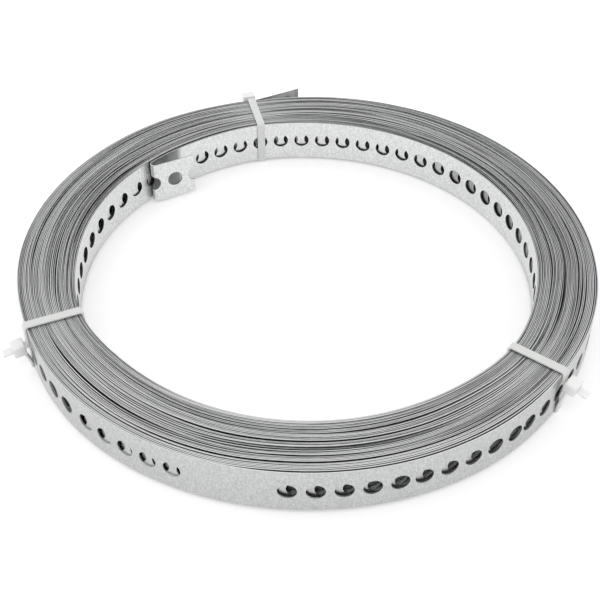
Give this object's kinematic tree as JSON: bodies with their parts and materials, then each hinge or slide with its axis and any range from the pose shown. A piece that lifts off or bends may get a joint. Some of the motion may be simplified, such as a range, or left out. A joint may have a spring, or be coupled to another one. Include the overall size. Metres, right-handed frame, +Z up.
{
  "type": "roll of perforated metal strap",
  "caption": "Roll of galvanised steel fixing strap punched with a row of round holes, lying flat and held closed by cable ties, with a loose outer end and a folded inner end.",
  "frame": {"origin": "at floor level, which is the plane of the ties' undersides, under the middle of the whole outline; the roll's axis is 3.2 mm from it towards -Y", "axes": "+Z up along the roll's axis; the loose outer end is on the +Y side and the folded inner end between +Y and -X"},
  "size_m": [0.2394, 0.2456, 0.0225],
  "materials": {
    "galvanised_steel": "bright zinc coating",
    "tie_nylon": "natural translucent nylon"
  },
  "bodies": {
    "root": {"strap_coil": "galvanised_steel", "tie_back": "tie_nylon", "tie_left": "tie_nylon", "tie_right": "tie_nylon"}
  },
  "joints": []
}
